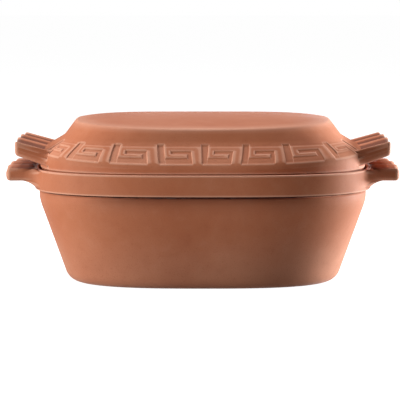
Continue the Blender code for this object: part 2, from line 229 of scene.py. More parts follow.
# Where the painted light of the band and the painted highlight of the crown's edge come in and go
# out, as values of "band"
BAND_STARTS = (-0.3, 0.0)
BAND_ENDS = (1.5, 1.1)
CROWN_EDGE_STARTS = (-1.15, CROWN_EDGE_BAND)
CROWN_EDGE_ENDS = (-3.0, -2.6)

# Finish of the clay
ROUGH_GRAIN = (0.3, 0.7)
ROUGHNESS_SPAN = 0.07
SPECULAR = 0.2
SHEEN = 0.10
SHEEN_ROUGHNESS = 0.4
RELIEF_STRENGTH = 0.45
RELIEF_DISTANCE = 0.00035
RELIEF_GRAIN = 0.7
RELIEF_SPECKS = 0.35
RELIEF_PATCHES = 1.2

# Inputs and output of a Mix node that are for colours
MIX_SHARE = 0
MIX_FIRST = 6
MIX_SECOND = 7
MIX_RESULT = 2

# Stage. Lamps as (place, size, colour)
LAMPS = {
    "key": ((-1.95, -0.70, 0.27), (0.7, 0.6), (0.95, 1.0, 1.0)),
    "top": ((0.0, 0.45, 1.85), (1.2, 0.8), (1.0, 1.0, 1.0)),
    "rim": ((1.74, 0.60, 0.14), (0.85, 0.28), (0.88, 1.0, 1.06)),
}
LAMP_AIM = (0.0, 0.0, 0.08)
FLOOR_HALF = 12.0
FLOOR_CORNERS = ((-1, -1), (1, -1), (1, 1), (-1, 1))
FLOOR_TONE = 0.40
FLOOR_GLOW = 0.965
CAMERA_LENS = 199.7
CAMERA_SENSOR = 36.0
CAMERA_FAR = 30.0
CAMERA_PLACE = (-0.00247, -2.005, 0.2771)
CAMERA_DOWN = 0.10276

# A ring is a superellipse with its height at the ends and at the sides. Where dome is 1, it lies on
# the crown, whose middle is at the peak
Ring = namedtuple("Ring", "end_reach side_reach power end_height side_height dome peak band")

# The part of a shell that a lug takes the place of: rows from top_row to low_row and columns from
# 0 to last, with step more columns on each side from step_row down
Patch = namedtuple("Patch", "top_row step_row low_row last step")

# A lug's tip is its reach from the middle, bow how far its corners lie behind the tip, arch how far
# its middle is above them, web how far its root is filled, and the last how much painted shade its
# flutes' valleys get
Lug = namedtuple(
    "Lug",
    "tip half_width bow arch top tilt thickness taper flute tip_round top_run side_run under_run"
    " web soil",
)


class Field:
    """A number that nodes work out, so that a formula in Python becomes Math nodes in a tree."""

    def __init__(self, tree, socket):
        self.tree = tree
        self.socket = socket

    def calculate(self, operation, *others):
        values = dict(enumerate((self,) + others))
        node = add_node(self.tree, "ShaderNodeMath", values, operation=operation)
        return Field(self.tree, node.outputs[0])

    __add__ = partialmethod(calculate, "ADD")
    __sub__ = partialmethod(calculate, "SUBTRACT")
    __mul__ = partialmethod(calculate, "MULTIPLY")
    __truediv__ = partialmethod(calculate, "DIVIDE")
    __pow__ = partialmethod(calculate, "POWER")
    __abs__ = partialmethod(calculate, "ABSOLUTE")
    at_least = partialmethod(calculate, "MAXIMUM")
    at_most = partialmethod(calculate, "MINIMUM")
    above = partialmethod(calculate, "GREATER_THAN")
    below = partialmethod(calculate, "LESS_THAN")

    def __rsub__(self, other):
        return self.calculate("MULTIPLY_ADD", -1.0, other)

    def eased(self, low, high, first=0.0, last=1.0):
        """Goes smoothly from first, where this is at low, to last, where it is at high."""
        names = ("Value", "From Min", "From Max", "To Min", "To Max")
        values = dict(zip(names, (self, low, high, first, last)))
        node = add_node(
            self.tree, "ShaderNodeMapRange", values, interpolation_type="SMOOTHSTEP"
        )
        return Field(self.tree, node.outputs["Result"])


def feed(tree, socket, value):
    """Links a field or another socket to an input, or sets the input to a plain value."""
    if isinstance(value, Field):
        value = value.socket
    if isinstance(value, bpy.types.NodeSocket):
        tree.links.new(value, socket)
    else:
        socket.default_value = value


def feed_all(tree, node, values):
    """Gives each input of a node that values names its value or its link."""
    for name, value in values.items():
        feed(tree, node.inputs[name], value)


def add_node(tree, kind, values=None, **settings):
    """A new node with these settings, whose inputs get their values or links."""
    node = tree.nodes.new(kind)
    for name, setting in settings.items():
        setattr(node, name, setting)
    feed_all(tree, node, values or {})
    return node


def new_tree(name, sizes):
    """A Geometry Nodes tree with a geometry, a material and the named sizes as its inputs."""
    tree = bpy.data.node_groups.new(name, "GeometryNodeTree")
    tree.interface.new_socket("Geometry", in_out="INPUT", socket_type="NodeSocketGeometry")
    tree.interface.new_socket("Clay", in_out="INPUT", socket_type="NodeSocketMaterial")
    for size in sizes:
        tree.interface.new_socket(size, in_out="INPUT", socket_type="NodeSocketFloat")
    tree.interface.new_socket("Geometry", in_out="OUTPUT", socket_type="NodeSocketGeometry")
    inputs = tree.nodes.new("NodeGroupInput")
    fields = {size: Field(tree, inputs.outputs[size]) for size in sizes}
    return tree, inputs, fields


def attribute(tree, name):
    node = add_node(tree, "GeometryNodeInputNamedAttribute", {"Name": name}, data_type="FLOAT")
    return Field(tree, node.outputs["Attribute"])


def end_tree(tree, inputs, placing):
    """Closes a tree with Set Position, fed as placing says, Realize Instances and Set Material."""
    geometry = add_node(tree, "GeometryNodeSetPosition", placing).outputs["Geometry"]
    realize = add_node(tree, "GeometryNodeRealizeInstances", {"Geometry": geometry})
    made = {"Geometry": realize.outputs["Geometry"], "Material": inputs.outputs["Clay"]}
    paint = add_node(tree, "GeometryNodeSetMaterial", made)
    add_node(tree, "NodeGroupOutput", {"Geometry": paint.outputs["Geometry"]})


def loft_tree():
    """Puts each point of a grid on its oval ring, by the ring's own sizes and the point's turn."""
    tree, inputs, sizes = new_tree("oval_loft", ("Rise Power", "End Fall", "Side Fall"))
    turn = attribute(tree, "turn")
    ring = {name: attribute(tree, name) for name in Ring._fields}
    along = turn.calculate("COSINE")
    across = turn.calculate("SINE")
    bend = (ring["power"] * 0.5) ** -1.0
    along_share = abs(along) ** bend
    across_share = abs(across) ** bend
    rise = ring["end_height"] - ring["side_height"]
    level = ring["side_height"] + rise * along_share ** sizes["Rise Power"]
    end_drop = (ring["peak"] - ring["end_height"]) * along_share ** sizes["End Fall"]
    side_drop = (ring["peak"] - ring["side_height"]) * across_share ** sizes["Side Fall"]
    domed = ring["peak"] - end_drop - side_drop
    place = {
        "X": ring["end_reach"] * along_share * along.calculate("SIGN"),
        "Y": ring["side_reach"] * across_share * across.calculate("SIGN"),
        "Z": level + (domed - level) * ring["dome"],
    }
    vector = add_node(tree, "ShaderNodeCombineXYZ", place).outputs["Vector"]
    end_tree(tree, inputs, {"Geometry": inputs.outputs["Geometry"], "Position": vector})
    return tree


def key_tree():
    """Sinks the Greek key into the lid's band, along the surface's own normal."""
    names = ("Depth", "Wall", "Pitch", "Breadth", "Figures", "Figure Share", "Strip Share")
    tree, inputs, sizes = new_tree("greek_key", names)
    cell = attribute(tree, "key_cell")
    band = attribute(tree, "band")
    wall, figures = sizes["Wall"], sizes["Figures"]
    pitch, breadth = sizes["Pitch"], sizes["Breadth"]

    def outside(place, columns, lines):
        """How far a point is outside a rectangle of the key, or inside it where negative."""
        middle, half = (columns[1] + columns[0]) / 2, (columns[1] - columns[0]) / 2
        beside = (abs(place - middle) - half) * pitch
        above = (lines[0] - band) * breadth * SOFT_WALL
        below = (band - lines[1]) * breadth
        return beside.at_least(above).at_least(below)

    def walled(distance, first=1.0, last=0.0):
        return distance.eased(wall * -1.0, wall, first, last)

    _, bar, inner_end, post, post_end = KEY_EDGES
    top, inner, inner_low, low = KEY_LINES
    share = cell.calculate("FRACT")
    around_bar = (cell - bar / 2).calculate("WRAP", 0.5, -0.5) + bar / 2
    upright = outside(around_bar, (0.0, bar), (KEY_TOP, KEY_LOWEST))
    closing = outside(cell, (figures, figures + KEY_CLOSING), (KEY_TOP, KEY_LOWEST))
    figure = outside(share, (inner_end, post_end), (inner, inner_low))
    figure = figure.at_most(outside(share, (post, post_end), (inner, KEY_LOWEST)))
    figure = figure.at_most(outside(share, (0.0, post_end), (low, KEY_LOWEST)))
    out_of_run = cell.below(0.0) + cell.above(figures)
    beyond = cell.below(KEY_BEYOND[0]) + cell.above(figures + KEY_BEYOND[1])
    sunk = walled(figure + out_of_run) * sizes["Figure Share"]
    sunk = sunk.at_least(walled(upright + beyond, UPRIGHT_SHARE))
    sunk = sunk * cell.eased(*KEY_WORN_FROM, 1.0, KEY_WORN_SHARE)
    sunk = sunk.at_least(walled(closing, CLOSING_SHARE))
    strip = band.eased(STRIP_START, STRIP_END) * walled((band - top) * breadth)
    strip = strip * walled(cell * pitch, 0.0, 1.0) * walled((cell - figures) * pitch)
    depth = sunk.at_least(strip * sizes["Strip Share"]) * sizes["Depth"]
    kept = {"Name": "channel", "Value": sunk, "Geometry": inputs.outputs["Geometry"]}
    keep = add_node(
        tree, "GeometryNodeStoreNamedAttribute", kept, data_type="FLOAT", domain="POINT"
    )
    normal = add_node(tree, "GeometryNodeInputNormal").outputs["Normal"]
    way = {0: normal, "Scale": depth * -1.0}
    offset = add_node(tree, "ShaderNodeVectorMath", way, operation="SCALE").outputs["Vector"]
    end_tree(tree, inputs, {"Geometry": keep.outputs["Geometry"], "Offset": offset})
    return tree


def run_tree(piece, tree, values):
    """Runs a tree on a piece with these inputs, and leaves the piece a plain mesh."""
    modifier = piece.modifiers.new(tree.name, "NODES")
    modifier.node_group = tree
    for item in tree.interface.items_tree:
        if item.in_out == "INPUT" and item.name in values:
            modifier[item.identifier] = values[item.name]
    bpy.context.view_layer.update()
    graph = bpy.context.evaluated_depsgraph_get()
    made = bpy.data.meshes.new_from_object(
        piece.evaluated_get(graph), preserve_all_data_layers=True, depsgraph=graph
    )
    before = piece.data
    piece.modifiers.clear()
    piece.data = made
    bpy.data.meshes.remove(before)
    if not len(made.vertices):
        raise RuntimeError(f"{tree.name} left nothing of {piece.name}")


def mixed(first, second, end_share, side_share=None):
    """A ring between two others, whose end and side may be at different shares of the way."""
    side_share = end_share if side_share is None else side_share
    middle = (end_share + side_share) / 2
    shares = (end_share, side_share, middle, end_share, side_share, middle, middle, middle)
    steps = zip(first, second, shares)
    return Ring(*(start + (end - start) * share for start, end, share in steps))


def towards(ring, other, distance, further=0.0):
    """A ring this far along the way to another, but never past a share of it, and then further."""
    way = [end - start for start, end in zip(ring, other)]
    gaps = (math.hypot(way[0], way[3]), math.hypot(way[1], way[4]))
    shares = [min(distance / gap, CORNER_LIMIT) + further / gap for gap in gaps]
    return mixed(ring, other, *shares)


def rounded(before, ring, after, setback, coarseness):
    """The rings of a rounded corner, with one more on each side of it that keeps the flats flat."""
    steps = (ROUND_STEPS if setback > SMALL_ROUND else SMALL_ROUND_STEPS) // coarseness
    start = towards(ring, before, setback)
    end = towards(ring, after, setback)
    rings = [towards(ring, before, setback, SUPPORT)]
    for step in range(steps + 1):
        share = step / steps
        rings.append(mixed(mixed(start, ring, share), mixed(ring, end, share), share))
    return rings + [towards(ring, after, setback, SUPPORT)]


def rounded_profile(corners, coarse_from):
    """Groups of rings, one for each corner, given as (ring, setback).

    The corners from coarse_from on are tiny or hidden, and get half the steps."""
    groups = []
    for index, (ring, setback) in enumerate(corners):
        group = [ring]
        if setback:
            before, after = corners[index - 1][0], corners[index + 1][0]
            group = rounded(before, ring, after, setback, 2 if index >= coarse_from else 1)
        groups.append(group)
    return groups


def level_ring(end_reach, side_reach, power, height):
    """A ring that is as high at its ends as at its sides."""
    return Ring(end_reach, side_reach, power, height, height, 0.0, 0.0, OFF_BAND)


def grown(ring, amount):
    return ring._replace(end_reach=ring.end_reach + amount, side_reach=ring.side_reach + amount)


def at_height(ring, height):
    return ring._replace(end_height=height, side_height=height)


def scaled(ring, scale):
    return ring._replace(end_reach=ring.end_reach * scale, side_reach=ring.side_reach * scale)


def rim_ring(sizes):
    return level_ring(sizes.rim_length / 2, sizes.rim_width / 2, RIM_POWER, sizes.rim_height)


def dish_rings(sizes):
    """The dish's rings from the middle of its floor, up the inside and down the outside."""
    rim = rim_ring(sizes)
    shoulder = at_height(grown(rim, -COLLAR_REACH), SHOULDER_HEIGHT)
    foot_reach = (shoulder.end_reach - FLARE_END, shoulder.side_reach - FLARE_SIDE)
    foot = level_ring(*foot_reach, FOOT_POWER, 0.0)
    at_floor = mixed(foot, shoulder, sizes.floor / SHOULDER_HEIGHT)
    at_floor = at_height(at_floor, sizes.floor)._replace(power=FOOT_POWER)
    collar_foot = sizes.rim_height - sizes.collar_height
    ledge = sizes.rim_height - REBATE_DEPTH
    lip = grown(rim, -LIP_THICKNESS)
    bore = grown(shoulder, -sizes.wall)
    floor = grown(at_floor, -sizes.wall)
    corners = [
        (scaled(foot, POLE_SCALE), 0.0),
        (foot, FOOT_ROUND),
        (shoulder, SHOULDER_ROUND),
        (at_height(shoulder, collar_foot - GROOVE_HEIGHT), SMALL_ROUND),
        (at_height(grown(shoulder, -GROOVE_DEPTH), collar_foot), SMALL_ROUND),
        (at_height(grown(rim, -COLLAR_DRAFT), collar_foot), SMALL_ROUND),
        (rim, SMALL_ROUND),
        (lip, SMALL_ROUND),
        (at_height(lip, ledge), SMALL_ROUND),
        (at_height(bore, ledge), SMALL_ROUND),
        (bore, SHOULDER_ROUND),
        (floor, FLOOR_ROUND),
        (scaled(floor, POLE_SCALE), 0.0),
    ]
    groups = rounded_profile(corners, len(corners))
    low_ring, top_ring = groups[5][-2], groups[6][1]
    start, end = groups[5][-1], groups[6][0]
    groups[5] += [mixed(start, end, step / COLLAR_ROWS) for step in range(1, COLLAR_ROWS)]
    rings = [ring for group in groups for ring in group][::-1]
    return rings, rings.index(top_ring), rings.index(low_ring)


def inset_line(points, wall):
    """A profile of (reach, height) points moved towards the inside of the lid by the wall."""
    moved = []
    for before, point, after in zip(points, points[1:], points[2:]):
        first = inward_normal(before, point)
        second = inward_normal(point, after)
        moved.append(point + (first + second) * wall / (1 + first.dot(second)))
    return moved


def inward_normal(start, end):
    along = (end - start).normalized()
    return Vector((along.y, -along.x))


def crown_ring(edge, scale):
    """A ring of the domed crown, whose edge is the given ring."""
    end_drop = (edge.peak - edge.end_height) * scale**CROWN_END_FALL
    side_drop = (edge.peak - edge.side_height) * scale**CROWN_SIDE_FALL
    # How near the crown's edge a ring lies, carried in "band" for the painted highlight there
    near = max((scale - CROWN_MARGIN) / (1 - CROWN_MARGIN), 0.0)
    return scaled(edge, scale)._replace(
        end_height=edge.peak - end_drop,
        side_height=edge.peak - side_drop,
        dome=1.0,
        band=OFF_BAND + (CROWN_EDGE_BAND - OFF_BAND) * near,
    )


def lid_corner_rings(dish, lid):
    """The lid's outer rings: crown edge, crease, foot of the band, top and bottom of its rim."""
    height = dish.rim_height
    top = height + lid.crown_rise
    rim = grown(rim_ring(dish), -LIP_THICKNESS - LID_CLEARANCE)
    rim = rim._replace(peak=top, band=BELOW_BAND)
    rim_top = at_height(grown(rim, -LID_RIM_INSET), height + NOTCH_RISE)
    rim_low = at_height(grown(rim, -NOTCH_DEPTH), height - REBATE_DEPTH + SEAT_GAP)
    corners = [rim_top, rim_low]
    end_reach, side_reach = rim.end_reach, rim.side_reach
    for end_inset, side_inset, end_rise, side_rise, power, dome, band in LID_CORNERS:
        end_reach -= end_inset
        side_reach -= side_inset
        heights = (height + end_rise, height + side_rise)
        corners.insert(0, Ring(end_reach, side_reach, power, *heights, dome, top, band))
    return corners


def lid_inner_rings(outer, wall):
    """The rings inside the lid, a wall's thickness in from the outer ones."""
    top = outer[0].peak
    ends = [Vector((0.0, top))] + [Vector((r.end_reach, r.end_height)) for r in outer]
    sides = [Vector((0.0, top))] + [Vector((r.side_reach, r.side_height)) for r in outer]
    moved = zip(inset_line(ends, wall), inset_line(sides, wall), outer)
    inner = [
        Ring(e.x, s.x, r.power, e.y, s.y, r.dome, top - wall, BELOW_BAND) for e, s, r in moved
    ]
    return inner + [grown(outer[-1], -wall)]


def key_lines(wall):
    """Shares of the band's breadth at which the key needs a ring of points."""
    half = wall / BAND_BREADTH
    lines = [LID_PATCH_SHARE, *KEY_FILL]
    for index, line in enumerate(KEY_LINES):
        reach = half / SOFT_WALL if index % 2 else half
        lines += [line + reach * part for part in KEY_WALL_PARTS[1:-1]]
    return sorted(lines)


def lid_rings(dish, lid):
    """The lid's rings from the top of its crown, down the outside and up the inside."""
    outer = lid_corner_rings(dish, lid)
    crown, crease, band_foot, rim_top, rim_low = outer
    under_crown, under_crease, under_band, rim_inside, low_inside = lid_inner_rings(outer, lid.wall)
    corners = [(crown_ring(crown, scale), 0.0) for scale in CROWN_SCALES]
    corners += [
        (crown, CROWN_ROUND),
        (crease, CREASE_ROUND),
        (band_foot, BAND_ROUND),
        (rim_top, SMALL_ROUND / 2),
        (grown(rim_top, -NOTCH_DEPTH), SMALL_ROUND / 2),
        (rim_low, SMALL_ROUND),
        (low_inside, SMALL_ROUND),
        (rim_inside, SMALL_ROUND),
        (under_band, CREASE_ROUND),
        (under_crease, CREASE_ROUND),
        (under_crown, CROWN_ROUND),
    ]
    corners += [(crown_ring(under_crown, scale), 0.0) for scale in reversed(CROWN_SCALES[::3])]
    crease_at = len(CROWN_SCALES) + 1
    groups = rounded_profile(corners, crease_at + 2)
    clear = lid.key_wall / BAND_BREADTH * LINE_MARGIN
    first = groups[crease_at][-1].band + clear
    last = groups[crease_at + 1][0].band - clear
    lines = [line for line in key_lines(lid.key_wall) if first < line < last]
    groups[crease_at] += [mixed(crease, band_foot, line) for line in lines]
    drop = rim_top.end_height - band_foot.end_height
    low = mixed(band_foot, rim_top, (LID_PATCH_LOW - band_foot.end_height) / drop, LID_PATCH_SIDE)
    foot = groups[crease_at + 1][-1]
    steps = range(1, LID_WALL_ROWS)
    groups[crease_at + 1] += [mixed(foot, low, step / LID_WALL_ROWS) for step in steps] + [low]
    rings = [ring for group in groups for ring in group]
    top_row = min(range(len(rings)), key=lambda i: abs(rings[i].band - LID_PATCH_SHARE))
    return rings, top_row, rings.index(foot), rings.index(low)


def oval_turn(ring, y):
    """The turn at which a ring's right-hand end is at this Y."""
    share = min(abs(y) / ring.side_reach, 1.0)
    return math.copysign(math.asin(share ** (ring.power / 2)), y)


def ring_points(ring, turns):
    """Points of a ring at these turns, as an array."""
    along, across = np.cos(turns), np.sin(turns)
    along_share = np.abs(along) ** (2 / ring.power)
    across_share = np.abs(across) ** (2 / ring.power)
    x = ring.end_reach * along_share * np.sign(along)
    y = ring.side_reach * across_share * np.sign(across)
    z = ring.side_height + (ring.end_height - ring.side_height) * along_share**RISE_POWER
    return np.stack((x, y, z), axis=-1)


def side_distances(ring):
    """Turns from the left end round the front to the right, and their distances from the middle."""
    turns = np.linspace(-math.pi, 0.0, TURN_SAMPLES)
    points = ring_points(ring, turns)
    steps = np.linalg.norm(np.diff(points, axis=0), axis=1)
    distances = np.concatenate(([0.0], np.cumsum(steps)))
    return turns, distances - distances[-1] / 2


def flute_places(marks=()):
    """Places of a lug's lines across it, as shares of its half width, with one at each mark."""
    crests = FLUTE_COUNT * FLUTE_STEPS
    places = []
    for step in range(crests + 1):
        place = CREST_SHARE * (2 * step / crests - 1)
        if step % FLUTE_STEPS == 0 or all(abs(place - mark) > MARK_GAP for mark in marks):
            places.append(place)
    return sorted(places + list(marks))


def lug_columns(lug, spread, places):
    """Places along Y of the lines that run into a lug, further apart at its corners than on it."""
    flutes = [place * lug.half_width for place in places]
    corner = [lug.half_width + spread * part for part in CORNER_COLUMNS]
    swell = spread * COLUMN_SWELL
    flutes = [
        y + math.copysign(swell * abs(y / lug.half_width) ** COLUMN_SWELL_POWER, y) for y in flutes
    ]
    return [-y for y in corner] + flutes + corner[::-1]


def patch_loop(patch):
    """The shell's points round a lug as (row, column), from its upper corner at the front."""
    top, step_row, low, last, step = patch
    side = [(row, 0) for row in range(top + 1, step_row + 1)]
    side += [(step_row, index) for index in range(1, step + 1)]
    side += [(row, step) for row in range(step_row + 1, low + 1)]
    loop = [(top, column) for column in range(last + 1)]
    loop += [(row, last + aside) for row, aside in side]
    loop += [(low, column) for column in range(last + step - 1, -step - 1, -1)]
    return loop + [(row, -aside) for row, aside in side[-2::-1]]


def patch_faces(patch):
    """The shell's faces that a lug takes the place of."""
    upper = [(row, 0) for row in range(patch.top_row, patch.step_row)]
    lower = [(row, patch.step) for row in range(patch.step_row, patch.low_row)]
    return [
        (row, column)
        for row, step in upper + lower
        for column in range(-step, patch.last + step)
    ]


def lug_section(patch, places):
    """Points round a lug, as shares of half width, of thickness, of a flute and of the corner."""
    corner = [
        (across, up, 0.0, 1.0 - index / len(CORNER_SECTION))
        for index, (across, up) in enumerate(CORNER_SECTION)
    ]
    top = [(-across, up, flute, part) for across, up, flute, part in corner]
    for place in places:
        within = (place / CREST_SHARE + 1) / 2 * FLUTE_COUNT % 1.0
        top.append((place, 1.0, 4 * within * (1 - within), 0.0))
    top += corner[::-1]
    count = len(SIDE_SECTION) - 1
    above = patch.step_row - patch.top_row
    side_rows = patch.low_row - patch.top_row + patch.step
    knots = (0, above, above + patch.step, side_rows) if patch.step else (0, side_rows)
    values = (0.0, *SIDE_AT_STEP, count) if patch.step else (0, count)
    places = np.interp(range(side_rows + 1), knots, values)
    across, up = (np.interp(places, range(count + 1), line) for line in zip(*SIDE_SECTION))
    side = [(*point, 0.0, 1.0 + place / count) for *point, place in zip(across, up, places)]
    low_half = SIDE_SECTION[-1][0]
    last = len(top) - 1 + 2 * patch.step
    low = [(low_half * (1 - 2 * index / last), 0.0, 0.0, 2.0) for index in range(last + 1)]
    left = [(-across, up, flute, part) for across, up, flute, part in reversed(side)]
    return top + side[1:] + low[1:] + left[1:-1]


def lug_height(lug, x, y, up, flute, narrowing=0.0):
    """Height of a lug's line at this reach, for a point of its section."""
    aside = (y / lug.half_width) ** 2
    crest = lug.top + lug.tilt * (x - lug.tip)
    top = crest + lug.arch * (1 - aside) - lug.flute * flute - narrowing
    under = crest - lug.thickness + lug.taper * (x - lug.tip) + narrowing
    return under + (top - under) * up


def wall_reach(wall, y, height_at):
    """Reach and row at which a line of a lug runs into the shell, or None where it passes over."""
    reaches = [np.interp(y, row[:, 1], row[:, 0]) for row in wall]
    levels = [np.interp(y, row[:, 1], row[:, 2]) for row in wall]
    clear = [level - height_at(reach) for reach, level in zip(reaches, levels)]
    for index in range(len(clear) - 1):
        if clear[index] >= 0 > clear[index + 1]:
            share = clear[index] / (clear[index] - clear[index + 1])
            return reaches[index] + (reaches[index + 1] - reaches[index]) * share, index + share
    return None


def on_shell(shell, row, column):
    """The shell's point at a row and column that need not be whole."""
    low_row, low_column = math.floor(row), math.floor(column)
    down, over = row - low_row, column - low_column
    near = shell[low_row : low_row + 2].take((low_column, low_column + 1), axis=1, mode="wrap")
    upper = near[0, 0] * (1 - over) + near[0, 1] * over
    lower = near[1, 0] * (1 - over) + near[1, 1] * over
    return upper * (1 - down) + lower * down


def lug_run(lug, part):
    """Length of the fillet at a lug's root, by how far down its section a line is."""
    if part <= 1:
        return lug.top_run + (lug.side_run - lug.top_run) * part
    return lug.side_run + (lug.under_run - lug.side_run) * (part - 1) ** UNDER_RUN_POWER


def lug_lines(lug, shell, bands, patch, places):
    """The right-hand lug as loops of points, from its fillet to the edge of its flat end.

    The shares of the band's breadth come with the points that still lie on the shell itself."""
    loop = patch_loop(patch)
    section = lug_section(patch, places)
    first_row, end_row = patch.top_row - WALL_MARGIN, patch.low_row + WALL_MARGIN
    aside = patch.step + WALL_MARGIN
    near = range(1 - aside, patch.last + aside)
    wall = shell[first_row:end_row].take(near, axis=1, mode="wrap")
    wall_bands = bands[first_row:end_row]
    lines = []
    shares_on_band = []
    fluting = []
    for (row, column), (across, up, flute, part) in zip(loop, section):
        start = shell[row, column % shell.shape[1]]
        y = across * lug.half_width
        run = lug_run(lug, part)

        def height_at(x):
            return lug_height(lug, x, y, up, flute)

        met = wall_reach(wall, y, height_at)
        meeting, at_row = met or (start[0] + run * PASSING_SHARE, 0.0)
        corner = np.array((meeting, y, height_at(meeting)))
        end = np.array((meeting + run, y, height_at(meeting + run)))
        back = min(run / np.linalg.norm(start - corner), FILLET_BACK)
        shares = [share * (1 - back) for share in (*SHELL_STATIONS, 1.0)]
        if met:
            level = int(at_row)
            upper, lower = wall[level, :, 1], wall[level + 1, :, 1]
            ys = upper + (lower - upper) * (at_row - level)
            down, over = first_row + at_row - row, np.interp(y, ys, near) - column
            path = [on_shell(shell, row + down * s, column + over * s) for s in shares]
        else:
            path = [start + (corner - start) * s for s in shares]
        bend = path[-1]
        web = lug.web * max(part - 1, 0) ** WEB_POWER
        corner = corner + ((bend + end) / 2 - corner) * web
        line = path[:-1]
        reached = np.interp(at_row, range(len(wall_bands)), wall_bands)
        shares_on_band.append(
            [bands[row] + (reached - bands[row]) * (1 - back) * share for share in SHELL_STATIONS]
        )
        # A flute's valley carries its share of painted shade, and its crest line is -1 for a
        # painted highlight
        fluted = flute * lug.soil if flute > LEAST_FLUTE else -1.0
        fluting.append(0.0 if part else fluted)
        for share in FILLET_STATIONS:
            first_leg = bend + (corner - bend) * share
            second_leg = corner + (end - corner) * share
            line.append(first_leg + (second_leg - first_leg) * share)
        straight_end = lug.tip - lug.bow * (y / lug.half_width) ** 2 - lug.tip_round
        for share in STRAIGHT_STATIONS:
            x = end[0] + (straight_end - end[0]) * share
            line.append(np.array((x, y, height_at(x))))
        for angle in np.radians(TIP_ANGLES):
            x = straight_end + lug.tip_round * math.sin(angle)
            narrowing = lug.tip_round * (1 - math.cos(angle))
            inner_y = across * (lug.half_width - narrowing)
            z = lug_height(lug, x, inner_y, up, flute, narrowing)
            line.append(np.array((x, inner_y, z)))
        lines.append(line)
    return loop, np.array(lines), np.array(shares_on_band), np.array(fluting)


def lug_end(lug, edge, wide, tall):
    """The points inside a lug's flat end, from its edge loop, as rows from the top down."""
    top, right = edge[: wide + 1], edge[wide : wide + tall + 1]
    low = edge[wide + tall : 2 * wide + tall + 1][::-1]
    left = np.concatenate((edge[-tall:], edge[:1]))[::-1]
    v = (np.arange(1, tall) / tall)[:, None, None]
    u = (np.arange(1, wide) / wide)[None, :, None]
    points = top[None, 1:-1] * (1 - v) + low[None, 1:-1] * v
    points = points + left[1:-1, None] * (1 - u) + right[1:-1, None] * u
    points = points - (top[0] * (1 - u) + top[-1] * u) * (1 - v)
    points = points - (low[0] * (1 - u) + low[-1] * u) * v
    points[..., 0] = lug.tip - lug.bow * (points[..., 1] / lug.half_width) ** 2
    return points


class MeshDraft:
    """Points and faces of a mesh while it is put together."""

    def __init__(self, points, cells, bands):
        self.points = [tuple(point) for point in points]
        self.cells = list(cells)
        self.bands = list(bands)
        self.fluting = [0.0] * len(self.points)
        self.faces = []

    def add(self, points, cells=None, bands=None, fluting=None):
        start = len(self.points)
        self.points += [tuple(point) for point in points]
        plain = [NO_KEY] * len(points)
        self.cells += plain if cells is None else list(cells)
        self.bands += plain if bands is None else list(bands)
        self.fluting += [0.0] * len(points) if fluting is None else list(fluting)
        return list(range(start, len(self.points)))

    def bridge(self, first, second):
        count = len(first)
        for index in range(count):
            after = (index + 1) % count
            self.faces.append((first[index], first[after], second[after], second[index]))


def grow_lug(draft, grid, lug, shell, bands, patch, places, shift, side):
    """Adds one lug to the draft. shift counts its columns on from the right-hand end's."""
    loop, lines, on_band, fluting = lug_lines(lug, shell, bands, patch, places)
    turned = np.array((side, side, 1.0))
    count = shell.shape[1]
    before = [grid[row][(column + shift) % count] for row, column in loop]
    cells = [
        draft.cells[index] if row == patch.top_row else NO_KEY
        for index, (row, _) in zip(before, loop)
    ]
    for station in range(lines.shape[1]):
        if station < len(SHELL_STATIONS):
            here = draft.add(lines[:, station] * turned, cells, on_band[:, station])
        else:
            # The flutes' painted shade and highlight grow in over the first stations of the fillet
            grown_in = min((station - len(SHELL_STATIONS)) / FLUTES_BEGIN, 1.0)
            here = draft.add(lines[:, station] * turned, fluting=fluting * grown_in)
        draft.bridge(before, here)
        before = here
    wide = patch.last
    tall = patch.low_row - patch.top_row + 2 * patch.step
    inside = lug_end(lug, lines[:, -1], wide, tall)
    rows = [before[: wide + 1]]
    for down, row in enumerate(inside, start=1):
        left = before[-down]
        right = before[wide + down]
        rows.append([left] + draft.add(row * turned) + [right])
    rows.append(before[wide + tall : 2 * wide + tall + 1][::-1])
    for upper, lower in zip(rows, rows[1:]):
        for index in range(wide):
            face = (upper[index], lower[index], lower[index + 1], upper[index + 1])
            draft.faces.append(face)


def store(mesh, name, values):
    """Stores a number for each point of a mesh."""
    layer = mesh.attributes.new(name, "FLOAT", "POINT")
    layer.data.foreach_set("value", np.ascontiguousarray(values, dtype=np.float32))


def read(items, name, width, kind=np.float32):
    """The values of one name of all items of a mesh, as rows of this width."""
    values = np.zeros(len(items) * width, dtype=kind)
    items.foreach_get(name, values)
    return values.reshape(-1, width)


def lofted_shell(name, rings, turns, clay):
    """A grid of points with the rings' sizes as attributes, lofted by Geometry Nodes."""
    rows, count = len(rings), len(turns)
    mesh = bpy.data.meshes.new(name)
    mesh.from_pydata([(0.0, 0.0, 0.0)] * (rows * count), [], [(0, 1, count + 1, count)])
    store(mesh, "turn", np.tile(turns, rows))
    for index, field in enumerate(Ring._fields):
        store(mesh, field, np.repeat([ring[index] for ring in rings], count))
    shell = bpy.data.objects.new(name, mesh)
    bpy.context.scene.collection.objects.link(shell)
    sizes = {"Rise Power": RISE_POWER, "End Fall": CROWN_END_FALL, "Side Fall": CROWN_SIDE_FALL}
    run_tree(shell, loft_tree(), {"Clay": clay, **sizes})
    points = read(shell.data.vertices, "co", 3)
    bpy.data.objects.remove(shell)
    return points.reshape(rows, count, 3).astype(float)


